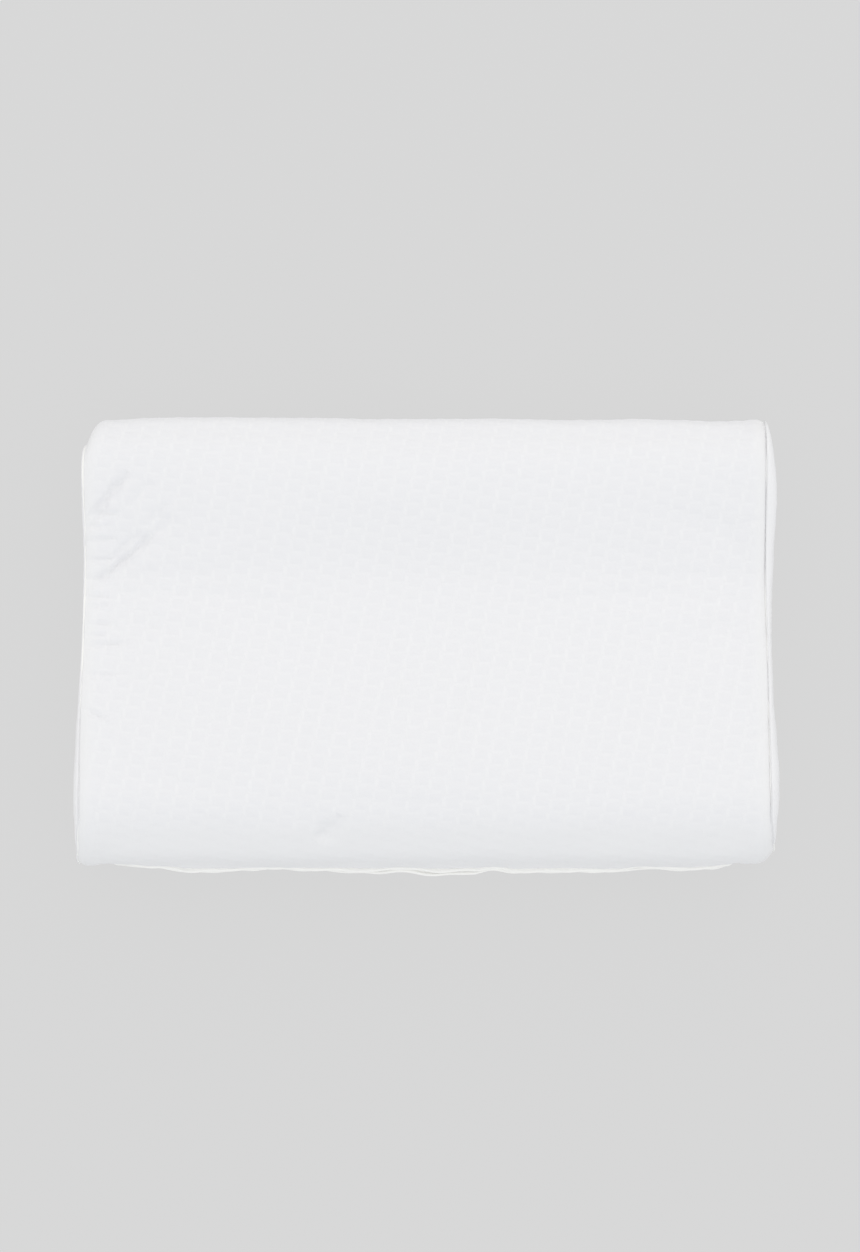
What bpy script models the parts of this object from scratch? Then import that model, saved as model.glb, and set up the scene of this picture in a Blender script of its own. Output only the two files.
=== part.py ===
"""A contour (cervical) pillow in a fitted knitted cover, lying flat on its base.

One wrap panel runs round the foam, over the high front lobe, the head hollow and the low rear lobe and back
under them. An end gusset cut to the contour closes each end, and a long closure along the front nose shows as
two folded lips. Metres, +Z up: X runs along the pillow, the high lobe is toward -Y, and the origin is the
middle of the base of the whole object's box.
"""

import math
from bisect import bisect_left
from collections import namedtuple

import bmesh
import bpy
from mathutils import Vector

# Driving dimensions of the section, across the pillow
DEPTH = 0.3188
HIGH_LOBE = 0.1005
LOW_LOBE = 0.0705
HOLLOW = 0.061
HOLLOW_Y = 0.045
FRONT_FOOT = 0.038
REAR_FOOT = 0.027
REAR_SLANT = 0.0029
SLOPE_EASE = 0.55
BASE_LIFT_ZONE = 0.020

# The ends: how far the seam ring is pulled in, and how the cover crowns between the ends
SEAM_INSET = 0.0032
CROWN = 0.0020
DOME_POWER = 7.0
CAP_GRADING = 1.8

# The cover's cloth
GUSSET_THICK = 0.0018
GUSSET_REACH = 0.87
GAP = 0.0003
OFF_FOAM = 0.0012

# The closure along the front nose
LIP_HEIGHT = 0.0460
LIP_THICK = 0.0024
LIP_PARTING = 0.0008

# The cages' cells: along the pillow, across it and up it, and the section's own sampling
CAGE_CELLS = (24, 18, 8)
GUSSET_CELLS = (18, 6)
LIP_CELLS = (60, 2, 1)
ARC_STEPS = 24
SLOPE_STEPS = 60

# The whole object's box stands centred on the origin
CENTRE_SHIFT = (0.0018, 0.0049)

PlanRow = namedtuple("PlanRow", "y left_seam left_edge right_seam right_edge")
PLAN = (
    PlanRow(-0.160, -0.2475, -0.2515, 0.2455, 0.2465),
    PlanRow(-0.123, -0.2499, -0.2527, 0.2464, 0.2494),
    PlanRow(-0.100, -0.2499, -0.2527, 0.2450, 0.2486),
    PlanRow(-0.072, -0.2492, -0.2519, 0.2430, 0.2465),
    PlanRow(-0.043, -0.2480, -0.2500, 0.2412, 0.2446),
    PlanRow(0.000, -0.2458, -0.2464, 0.2402, 0.2436),
    PlanRow(0.057, -0.2452, -0.2460, 0.2404, 0.2456),
    PlanRow(0.120, -0.2468, -0.2480, 0.2405, 0.2492),
    PlanRow(0.160, -0.2460, -0.2475, 0.2400, 0.2490),
)

# The rolled edge beside each seam: how far the cover stands off the foam's line at a distance in from the seam
EdgeRow = namedtuple("EdgeRow", "inset swell")
ROLLED_EDGE = (
    EdgeRow(0.000, -SEAM_INSET),
    EdgeRow(0.005, 0.0026),
    EdgeRow(0.013, 0.0016),
    EdgeRow(0.025, -0.0004),
)

# The corners in plan: how far the nose is drawn in at the seam, and over what length of the nose
CornerRow = namedtuple("CornerRow", "side nose pull length")
CORNERS = (
    CornerRow(-1, 1, 0.0180, 0.022),
    CornerRow(1, 1, 0.0010, 0.012),
    CornerRow(-1, -1, 0.0010, 0.010),
    CornerRow(1, -1, 0.0090, 0.014),
)

# The two lips: how far each stands out of the nose, and how the pair rises and dips, along the pillow
LipRow = namedtuple("LipRow", "x upper lower rise")
LIPS = (
    LipRow(-0.230, 0.0010, 0.0014, -0.0010),
    LipRow(-0.193, 0.0024, 0.0036, 0.0004),
    LipRow(-0.168, 0.0042, 0.0064, 0.0012),
    LipRow(-0.128, 0.0036, 0.0050, 0.0000),
    LipRow(-0.116, 0.0022, 0.0036, -0.0012),
    LipRow(-0.080, 0.0034, 0.0052, 0.0002),
    LipRow(-0.040, 0.0043, 0.0072, 0.0010),
    LipRow(-0.024, 0.0025, 0.0056, -0.0012),
    LipRow(0.006, 0.0051, 0.0086, 0.0016),
    LipRow(0.030, 0.0035, 0.0074, 0.0004),
    LipRow(0.045, 0.0024, 0.0050, -0.0014),
    LipRow(0.062, 0.0036, 0.0060, 0.0008),
    LipRow(0.100, 0.0028, 0.0060, 0.0002),
    LipRow(0.134, 0.0028, 0.0058, 0.0000),
    LipRow(0.150, 0.0016, 0.0036, -0.0012),
    LipRow(0.178, 0.0030, 0.0046, 0.0006),
    LipRow(0.200, 0.0034, 0.0040, 0.0004),
    LipRow(0.219, 0.0008, 0.0010, -0.0008),
)

COVER_WHITE = (0.87, 0.87, 0.885, 1.0)
LIP_WHITE = (0.84, 0.845, 0.84, 1.0)
KNIT_ROUGHNESS = 0.92


def smooth(t):
    """Ease a share from 0 to 1 with level ends."""
    t = min(max(t, 0.0), 1.0)
    return t * t * (3.0 - 2.0 * t)


def read_table(rows, key, column, at):
    """Read a table between its rows, easing from one row to the next."""
    keys = [getattr(row, key) for row in rows]
    after = min(max(bisect_left(keys, at), 1), len(rows) - 1)
    low, high = rows[after - 1], rows[after]
    share = (at - keys[after - 1]) / (keys[after] - keys[after - 1])
    first, last = getattr(low, column), getattr(high, column)
    return first + (last - first) * smooth(share)


def quarter(centre, radii, start):
    """Points of a quarter ellipse that turns anticlockwise from an angle in degrees."""
    for step in range(ARC_STEPS + 1):
        angle = math.radians(start + 90.0 * step / ARC_STEPS)
        yield Vector((centre[0] + radii[0] * math.cos(angle), centre[1] + radii[1] * math.sin(angle)))


def top_slope(start, end, ease):
    """Points of a slope between two heights: partly straight, partly eased at its ends."""
    for step in range(1, SLOPE_STEPS):
        share = step / SLOPE_STEPS
        rise = (1.0 - ease) * share + ease * smooth(share)
        yield Vector((start[0] + (end[0] - start[0]) * share, start[1] + (end[1] - start[1]) * rise))


def section_outline():
    """The closed section in Y and Z, anticlockwise from the rear foot, and where the cage's corners fall."""
    half = DEPTH / 2.0
    front, rear = HIGH_LOBE / 2.0, LOW_LOBE / 2.0
    rear_crest = (half - rear, LOW_LOBE)
    front_crest = (-half + front, HIGH_LOBE)
    hollow = (HOLLOW_Y, HOLLOW)
    points, corners = [], {}
    points += quarter((half - REAR_FOOT, rear), (REAR_FOOT, rear), 270.0)
    corners[(1, -1)] = ARC_STEPS // 2
    corners[(1, 1)] = len(points) + ARC_STEPS // 2
    points += quarter((half - rear, rear), (rear, rear), 0.0)
    points += top_slope(rear_crest, hollow, 1.0)
    points += [Vector(hollow)]
    points += top_slope(hollow, front_crest, SLOPE_EASE)
    corners[(-1, 1)] = len(points) + ARC_STEPS // 2
    points += quarter((-half + front, front), (front, front), 90.0)
    corners[(-1, -1)] = len(points) + ARC_STEPS // 2
    points += quarter((-half + FRONT_FOOT, front), (FRONT_FOOT, front), 180.0)
    return points, corners


class Section:
    """The foam's outline across the pillow, read by the distance along it."""

    def __init__(self):
        points, corners = section_outline()
        self.points = points + points[:1]
        self.lengths = [0.0]
        for before, after in zip(self.points, self.points[1:]):
            self.lengths.append(self.lengths[-1] + (after - before).length)
        self.corners = {corner: self.lengths[index] for corner, index in corners.items()}
        self.middle = Vector((0.0, HOLLOW * 0.5))

    def at(self, length):
        """The point at a distance along the outline, and the way out of the foam there."""
        length %= self.lengths[-1]
        after = max(bisect_left(self.lengths, length), 1)
        span = self.lengths[after] - self.lengths[after - 1]
        share = (length - self.lengths[after - 1]) / span if span else 0.0
        low, high = self.points[after - 1], self.points[after]
        along = (high - low).normalized()
        return low.lerp(high, share), Vector((along.y, -along.x))

    def ring(self, across, up):
        """The outline's point for a point on the rim of the cage's square."""
        if abs(across) >= abs(up):
            side = 1 if across > 0 else -1
            first, last = self.corners[(side, -side)], self.corners[(side, side)]
            share = (1.0 + side * up / abs(across)) / 2.0
        else:
            side = 1 if up > 0 else -1
            first, last = self.corners[(side, side)], self.corners[(-side, side)]
            share = (1.0 - side * across / abs(up)) / 2.0
        if last < first:
            last += self.lengths[-1]
        return self.at(first + (last - first) * share)


SECTION = Section()


def seam_x(side, y):
    """Where the end seam lies, at a place across the pillow."""
    return read_table(PLAN, "y", "left_seam" if side < 0 else "right_seam", y)


def edge_x(side, y):
    """Where the end gusset stands out furthest, at a place across the pillow."""
    return read_table(PLAN, "y", "left_edge" if side < 0 else "right_edge", y)


def corner_pull(side, y, inset):
    """How far a nose is drawn in near an end, for a point this far in from the seam."""
    for row in CORNERS:
        if row.side == side and row.nose * y > 0.0:
            reach = abs(y) / (DEPTH / 2.0)
            near = max(0.0, 1.0 - inset / row.length)
            return -row.nose * row.pull * near * near * reach ** 6
    return 0.0


def rear_slant(along, y):
    """How far the rear lobe is drawn in towards the right end, where the cover sits a little tighter."""
    return REAR_SLANT * (1.0 + along) / 2.0 * smooth(y / (DEPTH / 2.0))


def edge_swell(inset):
    """How far the cover stands off the foam's line near a seam."""
    if inset >= ROLLED_EDGE[-1].inset:
        return ROLLED_EDGE[-1].swell * max(0.0, 1.0 - (inset - ROLLED_EDGE[-1].inset) / 0.05)
    return read_table(ROLLED_EDGE, "inset", "swell", inset)


def inset_at(along, half_length):
    """How far in from the seam a share of the way out from the middle lies: short cells by the seam."""
    cells = CAGE_CELLS[0] // 2
    step = round(abs(along) * cells)
    from_end = cells - step
    if from_end < len(ROLLED_EDGE):
        return ROLLED_EDGE[from_end].inset
    inner = cells - len(ROLLED_EDGE) + 1
    return half_length - (half_length - ROLLED_EDGE[-1].inset) * step / inner


def side_point(along, across, up):
    """A point of the wrap panel."""
    side = 1 if along > 0 else -1
    outline, outward = SECTION.ring(across, up)
    seam = seam_x(side, outline.x)
    inset = inset_at(along, abs(seam))
    clear_of_base = smooth(outline.y / BASE_LIFT_ZONE)
    swell = edge_swell(inset)
    if swell > 0.0:
        swell *= clear_of_base
    place = outline + outward * swell
    place.x += corner_pull(side, outline.x, inset) - rear_slant(along, outline.x)
    crown = CROWN * abs(along) ** 4 * clear_of_base
    return Vector((side * (abs(seam) - inset), place.x, max(place.y - crown, 0.0)))


def cap_point(side, across, up):
    """A point of the foam's end, domed out from the seam ring."""
    share = max(abs(across), abs(up))
    if share < 1e-6:
        middle = SECTION.middle
        return Vector((edge_x(side, middle.x) - side * (GUSSET_THICK + OFF_FOAM), middle.x, middle.y))
    rim = side_point(side, across / share, up / share)
    share = 1.0 - (1.0 - share) ** CAP_GRADING
    y = SECTION.middle.x + (rim.y - SECTION.middle.x) * share
    z = SECTION.middle.y + (rim.z - SECTION.middle.y) * share
    dome = math.sqrt(max(0.0, 1.0 - share ** DOME_POWER))
    seam = seam_x(side, y)
    foam_edge = edge_x(side, y) - side * (GUSSET_THICK + OFF_FOAM)
    return Vector((seam + (foam_edge - seam) * dome, y, z))


def cap_normal(side, across, up):
    """The way out of the foam's end, from its slope over a small step."""
    step = 0.02
    over = cap_point(side, across + step, up) - cap_point(side, across - step, up)
    rise = cap_point(side, across, up + step) - cap_point(side, across, up - step)
    normal = over.cross(rise).normalized()
    return normal if normal.x * side > 0.0 else -normal


def knit_material(name, colour):
    """A plain knitted finish."""
    material = bpy.data.materials.new(name)
    material.use_nodes = True
    shader = material.node_tree.nodes["Principled BSDF"]
    shader.inputs["Base Color"].default_value = colour
    shader.inputs["Roughness"].default_value = KNIT_ROUGHNESS
    shader.inputs["Metallic"].default_value = 0.0
    return material


def finish_object(name, mesh, material, collection):
    """Put a mesh in the object's collection, centred with the whole object."""
    mesh.materials.append(material)
    mesh.shade_smooth()
    piece = bpy.data.objects.new(name, mesh)
    piece.location = (CENTRE_SHIFT[0], CENTRE_SHIFT[1], 0.0)
    collection.objects.link(piece)
    return piece


def soften(piece):
    """Round a cage into its soft form."""
    rounding = piece.modifiers.new("Soft form", "SUBSURF")
    rounding.levels = 1
    rounding.render_levels = 1
    return rounding


def box_cage(cells):
    """A cube from -1 to 1 whose faces are cut into cells along X, Y and Z."""
    cage = bmesh.new()
    bmesh.ops.create_cube(cage, size=2.0)
    for axis, count in enumerate(cells):
        along = [edge for edge in cage.edges if edge_runs(edge, axis)]
        bmesh.ops.subdivide_edges(cage, edges=along, cuts=count - 1, use_grid_fill=True)
    return cage


def edge_runs(edge, axis):
    """Whether an edge runs along an axis."""
    run = edge.verts[1].co - edge.verts[0].co
    return abs(run[axis]) > 0.999 * run.length


def pillow_body(collection):
    """The filled foam with its wrap panel: both noses, the lobes, the hollow and the flat base."""
    cage = box_cage(CAGE_CELLS)
    for vertex in cage.verts:
        along, across, up = vertex.co
        if abs(across) > 0.999 or abs(up) > 0.999:
            vertex.co = side_point(along, across, up)
        else:
            vertex.co = cap_point(1 if along > 0 else -1, across, up)
    bmesh.ops.recalc_face_normals(cage, faces=cage.faces)
    mesh = bpy.data.meshes.new("pillow_body")
    cage.to_mesh(mesh)
    cage.free()
    soften(finish_object("pillow_body", mesh, knit_material("cover_knit", COVER_WHITE), collection))


def end_gusset(name, side, collection):
    """The contour-shaped end panel: a thin cloth over the foam's domed end, inside the rolled edge."""
    panel = bmesh.new()
    bmesh.ops.create_grid(panel, x_segments=GUSSET_CELLS[0], y_segments=GUSSET_CELLS[1], size=1.0)
    for vertex in panel.verts:
        across, up = vertex.co.x * GUSSET_REACH, vertex.co.y * GUSSET_REACH
        vertex.co = cap_point(side, across, up) + cap_normal(side, across, up) * OFF_FOAM
    bmesh.ops.recalc_face_normals(panel, faces=panel.faces)
    if sum(face.normal.x for face in panel.faces) * side < 0.0:
        bmesh.ops.reverse_faces(panel, faces=panel.faces)
    mesh = bpy.data.meshes.new(name)
    panel.to_mesh(mesh)
    panel.free()
    piece = finish_object(name, mesh, knit_material(name + "_knit", COVER_WHITE), collection)
    soften(piece)
    cloth = piece.modifiers.new("Cloth", "SOLIDIFY")
    cloth.thickness = GUSSET_THICK
    cloth.offset = 1.0
    cloth.use_even_offset = True


def closure_lip(name, column, below, collection):
    """One folded lip of the closure: a soft wavy strip that stands out of the front nose."""
    strip = box_cage(LIP_CELLS)
    start, end = LIPS[0].x, LIPS[-1].x
    for vertex in strip.verts:
        x = start + (end - start) * (vertex.co.x + 1.0) / 2.0
        reach = read_table(LIPS, "x", column, x)
        inset = abs(seam_x(1 if x > 0 else -1, -DEPTH / 2.0)) - abs(x)
        root = -DEPTH / 2.0 - GAP - max(0.0, edge_swell(inset))
        out = (1.0 - vertex.co.y) / 2.0
        thick = LIP_THICK / 2.0 * (1.0 - 0.35 * out ** 3)
        middle = LIP_HEIGHT + read_table(LIPS, "x", "rise", x) * out
        middle += (-1.0 if below else 1.0) * (LIP_THICK + LIP_PARTING) / 2.0
        vertex.co = Vector((x, root - reach * out, middle + vertex.co.z * thick))
    bmesh.ops.recalc_face_normals(strip, faces=strip.faces)
    mesh = bpy.data.meshes.new(name)
    strip.to_mesh(mesh)
    strip.free()
    finish_object(name, mesh, knit_material(name + "_knit", LIP_WHITE), collection)


def clear_scene():
    """Remove whatever the file holds."""
    for piece in list(bpy.data.objects):
        bpy.data.objects.remove(piece, do_unlink=True)


def main():
    """Build every piece of the pillow."""
    clear_scene()
    collection = bpy.data.collections.new("cervical_pillow")
    bpy.context.scene.collection.children.link(collection)
    pillow_body(collection)
    end_gusset("end_gusset_left", -1, collection)
    end_gusset("end_gusset_right", 1, collection)
    closure_lip("closure_lip_upper", "upper", False, collection)
    closure_lip("closure_lip_lower", "lower", True, collection)


main()
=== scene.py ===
"""The finished contour pillow: a puffed white jacquard cover over foam, lying flat under soft studio light.

The wrap panel is cut flat, rolled round the contour and closed along the front nose, where its two hems
stand out as wavy lips. An end gusset closes each end inside a rolled edge, along a seam that stands a little
proud. A short cloth run puffs the panel before its creases and cells are laid on it.
"""

import logging
import math
from dataclasses import dataclass
from enum import Enum
from typing import NamedTuple, Sequence

import bpy
import numpy as np
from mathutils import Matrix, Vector, kdtree, noise


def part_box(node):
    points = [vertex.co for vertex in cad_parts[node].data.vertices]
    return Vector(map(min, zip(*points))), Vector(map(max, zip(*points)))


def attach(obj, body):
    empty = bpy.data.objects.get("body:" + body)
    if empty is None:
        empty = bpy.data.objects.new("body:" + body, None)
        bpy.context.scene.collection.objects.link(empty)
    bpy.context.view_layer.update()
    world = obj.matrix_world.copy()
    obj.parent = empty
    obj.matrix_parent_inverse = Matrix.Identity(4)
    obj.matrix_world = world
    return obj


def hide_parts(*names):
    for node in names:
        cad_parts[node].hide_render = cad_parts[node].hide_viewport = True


LOG = logging.getLogger("pillow")
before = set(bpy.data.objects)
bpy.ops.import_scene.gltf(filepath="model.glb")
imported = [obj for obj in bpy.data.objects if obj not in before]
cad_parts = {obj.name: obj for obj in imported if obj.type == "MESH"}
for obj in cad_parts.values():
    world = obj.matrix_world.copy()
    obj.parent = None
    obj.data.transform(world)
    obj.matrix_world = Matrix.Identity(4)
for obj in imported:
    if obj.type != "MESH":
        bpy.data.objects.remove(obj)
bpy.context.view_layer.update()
BODY_LOW, BODY_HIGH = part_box("pillow_body")
CLOTH_MAP = "ClothMap"
BORDER = "Border"


class Side(Enum):
    """An end of the pillow, by the sign of its X."""

    LEFT = -1
    RIGHT = 1


class Hold(Enum):
    """How a sheet of cloth is held."""

    STRETCHED = "stretched"


class PlanRow(NamedTuple):
    """Where the end seams and the gussets' outermost points lie, at a place across the pillow."""

    y: float
    left_seam: float
    left_edge: float
    right_seam: float
    right_edge: float


class EdgeRow(NamedTuple):
    """How far the cover stands off the foam's line, at a distance in from the end seam."""

    inset: float
    swell: float


class CornerRow(NamedTuple):
    """How far a nose is drawn in at an end seam, over what length of the nose, and with what longer tail."""

    side: int
    nose: int
    pull: float
    length: float
    tail: float


class LipRow(NamedTuple):
    """How far the two lips stand out of the nose, and how the pair rises, at a place along the pillow."""

    x: float
    upper: float
    lower: float
    rise: float


class Crease(NamedTuple):
    """A soft trough (below nought) or ridge in the cover, between two places seen from above."""

    start: tuple[float, float]
    end: tuple[float, float]
    width: float
    height: float


PLAN = (
    PlanRow(-0.160, -0.2490, -0.2524, 0.2432, 0.2470),
    PlanRow(-0.146, -0.2468, -0.2522, 0.2405, 0.2480),
    PlanRow(-0.123, -0.2450, -0.2516, 0.2380, 0.2476),
    PlanRow(-0.100, -0.2450, -0.2506, 0.2378, 0.2464),
    PlanRow(-0.072, -0.2453, -0.2490, 0.2380, 0.2440),
    PlanRow(-0.043, -0.2455, -0.2474, 0.2382, 0.2424),
    PlanRow(0.000, -0.2450, -0.2460, 0.2386, 0.2426),
    PlanRow(0.057, -0.2448, -0.2456, 0.2386, 0.2448),
    PlanRow(0.120, -0.2460, -0.2476, 0.2388, 0.2490),
    PlanRow(0.160, -0.2452, -0.2470, 0.2400, 0.2498),
)

ROLLED_EDGE = (
    EdgeRow(0.0000, -0.0002),
    EdgeRow(0.0050, 0.0013),
    EdgeRow(0.0095, 0.0010),
    EdgeRow(0.0160, 0.0000),
    EdgeRow(0.0260, -0.0004),
    EdgeRow(0.0700, 0.0000),
)

CORNERS = (
    CornerRow(-1, 1, 0.0165, 0.016, 0.0045),
    CornerRow(1, 1, 0.0010, 0.016, 0.0),
    CornerRow(-1, -1, 0.0010, 0.014, 0.0),
    CornerRow(1, -1, 0.0090, 0.020, 0.0),
)

LIPS = (
    LipRow(-0.230, -0.0016, -0.0014, -0.0010),
    LipRow(-0.222, 0.0012, 0.0016, -0.0008),
    LipRow(-0.193, 0.0032, 0.0036, 0.0004),
    LipRow(-0.168, 0.0060, 0.0064, 0.0012),
    LipRow(-0.128, 0.0046, 0.0050, 0.0000),
    LipRow(-0.116, 0.0036, 0.0040, -0.0012),
    LipRow(-0.080, 0.0048, 0.0052, 0.0002),
    LipRow(-0.040, 0.0058, 0.0072, 0.0010),
    LipRow(-0.024, 0.0038, 0.0062, -0.0012),
    LipRow(0.006, 0.0060, 0.0086, 0.0016),
    LipRow(0.030, 0.0052, 0.0074, 0.0004),
    LipRow(0.045, 0.0036, 0.0052, -0.0014),
    LipRow(0.062, 0.0062, 0.0066, 0.0008),
    LipRow(0.100, 0.0058, 0.0062, 0.0002),
    LipRow(0.134, 0.0056, 0.0060, 0.0000),
    LipRow(0.150, 0.0026, 0.0040, -0.0012),
    LipRow(0.178, 0.0044, 0.0048, 0.0006),
    LipRow(0.200, 0.0040, 0.0044, 0.0004),
    LipRow(0.212, 0.0016, 0.0020, -0.0006),
    LipRow(0.219, -0.0016, -0.0014, -0.0008),
)

CREASES = (
    Crease((-0.2120, 0.1230), (-0.2260, 0.1040), 0.0030, -0.0036),
    Crease((-0.2185, 0.1215), (-0.2320, 0.0990), 0.0022, -0.0023),
    Crease((-0.2245, 0.1080), (-0.2400, 0.0830), 0.0028, -0.0035),
    Crease((-0.2310, 0.1040), (-0.2420, 0.0890), 0.0017, -0.0017),
    Crease((-0.2060, 0.1200), (-0.2280, 0.0900), 0.0040, 0.0010),
    Crease((-0.1960, 0.1170), (-0.2120, 0.0990), 0.0034, -0.0015),
    Crease((-0.1790, 0.0930), (-0.2050, 0.0690), 0.0039, -0.0023),
    Crease((-0.1850, 0.1010), (-0.2010, 0.0840), 0.0030, -0.0016),
    Crease((-0.1960, 0.0780), (-0.2210, 0.0560), 0.0032, -0.0036),
    Crease((-0.2120, 0.0660), (-0.2380, 0.0420), 0.0028, -0.0035),
    Crease((-0.2030, 0.0820), (-0.2300, 0.0580), 0.0022, -0.0020),
    Crease((-0.1880, 0.0700), (-0.2240, 0.0400), 0.0050, 0.0010),
    Crease((-0.2410, 0.0930), (-0.2170, 0.0945), 0.0017, -0.0016),
    Crease((-0.2420, 0.0840), (-0.2260, 0.0850), 0.0016, -0.0013),
    Crease((-0.2420, 0.0745), (-0.2190, 0.0765), 0.0018, -0.0017),
    Crease((-0.2420, 0.0610), (-0.2230, 0.0625), 0.0017, -0.0017),
    Crease((-0.2420, 0.0480), (-0.2280, 0.0500), 0.0016, -0.0013),
    Crease((-0.2420, 0.0350), (-0.2260, 0.0365), 0.0017, -0.0017),
    Crease((-0.2420, 0.0270), (-0.2240, 0.0300), 0.0015, -0.0012),
    Crease((-0.2415, 0.0150), (-0.2200, 0.0165), 0.0018, -0.0017),
    Crease((-0.2415, 0.0070), (-0.2230, 0.0090), 0.0015, -0.0012),
    Crease((-0.2415, 0.0000), (-0.2100, 0.0030), 0.0021, -0.0023),
    Crease((-0.2415, -0.0205), (-0.2170, -0.0190), 0.0018, -0.0016),
    Crease((-0.2420, -0.0440), (-0.2240, -0.0520), 0.0020, -0.0020),
    Crease((0.0450, 0.0360), (0.0140, -0.1000), 0.0026, 0.0012),
    Crease((0.0370, 0.0300), (0.0060, -0.1000), 0.0040, -0.0008),
    Crease((-0.0200, 0.0140), (-0.0110, -0.0940), 0.0028, 0.0010),
    Crease((-0.0300, 0.0300), (-0.0340, -0.0900), 0.0090, -0.0010),
    Crease((0.0150, 0.0900), (0.0120, 0.0200), 0.0030, 0.0006),
    Crease((-0.0760, -0.1400), (-0.0600, -0.1200), 0.0052, -0.0026),
    Crease((-0.0790, -0.1370), (-0.0700, -0.1330), 0.0030, -0.0012),
    Crease((0.1700, 0.0980), (0.2300, 0.0600), 0.0130, -0.0012),
    Crease((0.2000, 0.0200), (0.2320, -0.0060), 0.0080, -0.0009),
    Crease((0.2370, -0.0900), (0.2180, -0.0960), 0.0026, -0.0010),
    Crease((0.2370, -0.0620), (0.2230, -0.0640), 0.0020, -0.0008),
    Crease((0.2370, 0.0900), (0.2200, 0.0870), 0.0022, -0.0009),
)


def ease(share: np.ndarray) -> np.ndarray:
    """Ease shares from 0 to 1 with level ends."""
    share = np.clip(share, 0.0, 1.0)
    return share * share * (3.0 - 2.0 * share)


def read_table(rows: Sequence[NamedTuple], key: str, column: str, at: np.ndarray) -> np.ndarray:
    """Read a column of a table between its rows, easing from row to row.

    Args:
        rows: The table, its key rising.
        key: The name of the column that is looked up.
        column: The name of the column that is read.
        at: The places to read it at.

    Returns:
        The column's value at each place.
    """
    keys = np.array([getattr(row, key) for row in rows])
    values = np.array([getattr(row, column) for row in rows])
    after = np.clip(np.searchsorted(keys, at), 1, len(keys) - 1)
    share = ease((at - keys[after - 1]) / (keys[after] - keys[after - 1]))
    return values[after - 1] + (values[after] - values[after - 1]) * share


@dataclass(frozen=True)
class ContourSection:
    """The foam's outline across the pillow, walked from the closure over the lobes and under the base."""

    depth: float
    high_lobe: float
    low_lobe: float
    middle_y: float
    closure_height: float
    hollow: float = 0.061
    hollow_y: float = 0.045
    front_foot: float = 0.038
    rear_foot: float = 0.027
    slope_ease: float = 0.55
    steps: int = 400

    def quarter(self, centre: tuple[float, float], radii: tuple[float, float], start: float) -> np.ndarray:
        """Points of a quarter ellipse that turns clockwise from an angle in degrees."""
        angle = np.radians(start - 90.0 * np.arange(self.steps) / self.steps)
        return np.stack([centre[0] + radii[0] * np.cos(angle), centre[1] + radii[1] * np.sin(angle)], axis=1)

    def slope(self, start: tuple[float, float], end: tuple[float, float], eased: float) -> np.ndarray:
        """Points of a slope between two heights, partly straight and partly eased at its ends."""
        share = np.arange(self.steps) / self.steps
        rise = (1.0 - eased) * share + eased * ease(share)
        across, up = end[0] - start[0], end[1] - start[1]
        return np.stack([start[0] + across * share, start[1] + up * rise], axis=1)

    def walk(self) -> np.ndarray:
        """The closed outline in Y and Z, smoothed and started at the closure."""
        half = self.depth / 2.0
        front, rear = self.high_lobe / 2.0, self.low_lobe / 2.0
        front_crest, rear_crest = (-half + front, self.high_lobe), (half - rear, self.low_lobe)
        hollow = (self.hollow_y, self.hollow)
        parts = [
            self.quarter((-half + front, front), (front, front), 180.0),
            self.slope(front_crest, hollow, self.slope_ease),
            self.slope(hollow, rear_crest, 1.0),
            self.quarter((half - rear, rear), (rear, rear), 90.0),
            self.quarter((half - self.rear_foot, rear), (self.rear_foot, rear), 0.0),
            self.slope((half - self.rear_foot, 0.0), (-half + self.front_foot, 0.0), 0.0),
            self.quarter((-half + self.front_foot, front), (self.front_foot, front), 270.0),
        ]
        points = self.rounded(self.even(np.concatenate(parts)))
        start = np.argmin(np.abs(points[:, 1] - self.closure_height) + 10.0 * (points[:, 0] > 0.0))
        points = np.roll(points, -start, axis=0)
        return points + np.array([self.middle_y, 0.0])

    def even(self, points: np.ndarray) -> np.ndarray:
        """The same closed line with its points at even distances."""
        closed = np.concatenate([points, points[:1]])
        length = np.concatenate([[0.0], np.cumsum(np.linalg.norm(np.diff(closed, axis=0), axis=1))])
        at = np.linspace(0.0, length[-1], 1600, endpoint=False)
        return np.stack([np.interp(at, length, closed[:, axis]) for axis in (0, 1)], axis=1)

    def rounded(self, points: np.ndarray) -> np.ndarray:
        """The line eased over a few millimetres, so that slopes and arcs meet softly. The base stays flat."""
        reach = 14
        window = np.hanning(2 * reach + 3)[1:-1]
        window /= window.sum()
        padded = np.concatenate([points[-reach:], points, points[:reach]])
        soft = np.stack([np.convolve(padded[:, axis], window, mode="valid") for axis in (0, 1)], axis=1)
        soft[:, 1] = np.maximum(soft[:, 1], 0.0)
        return soft

    def area(self) -> float:
        """The area inside the outline."""
        points = self.walk()
        after = np.roll(points, -1, axis=0)
        return abs(float(np.sum(points[:, 0] * after[:, 1] - after[:, 0] * points[:, 1])) / 2.0)


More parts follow.
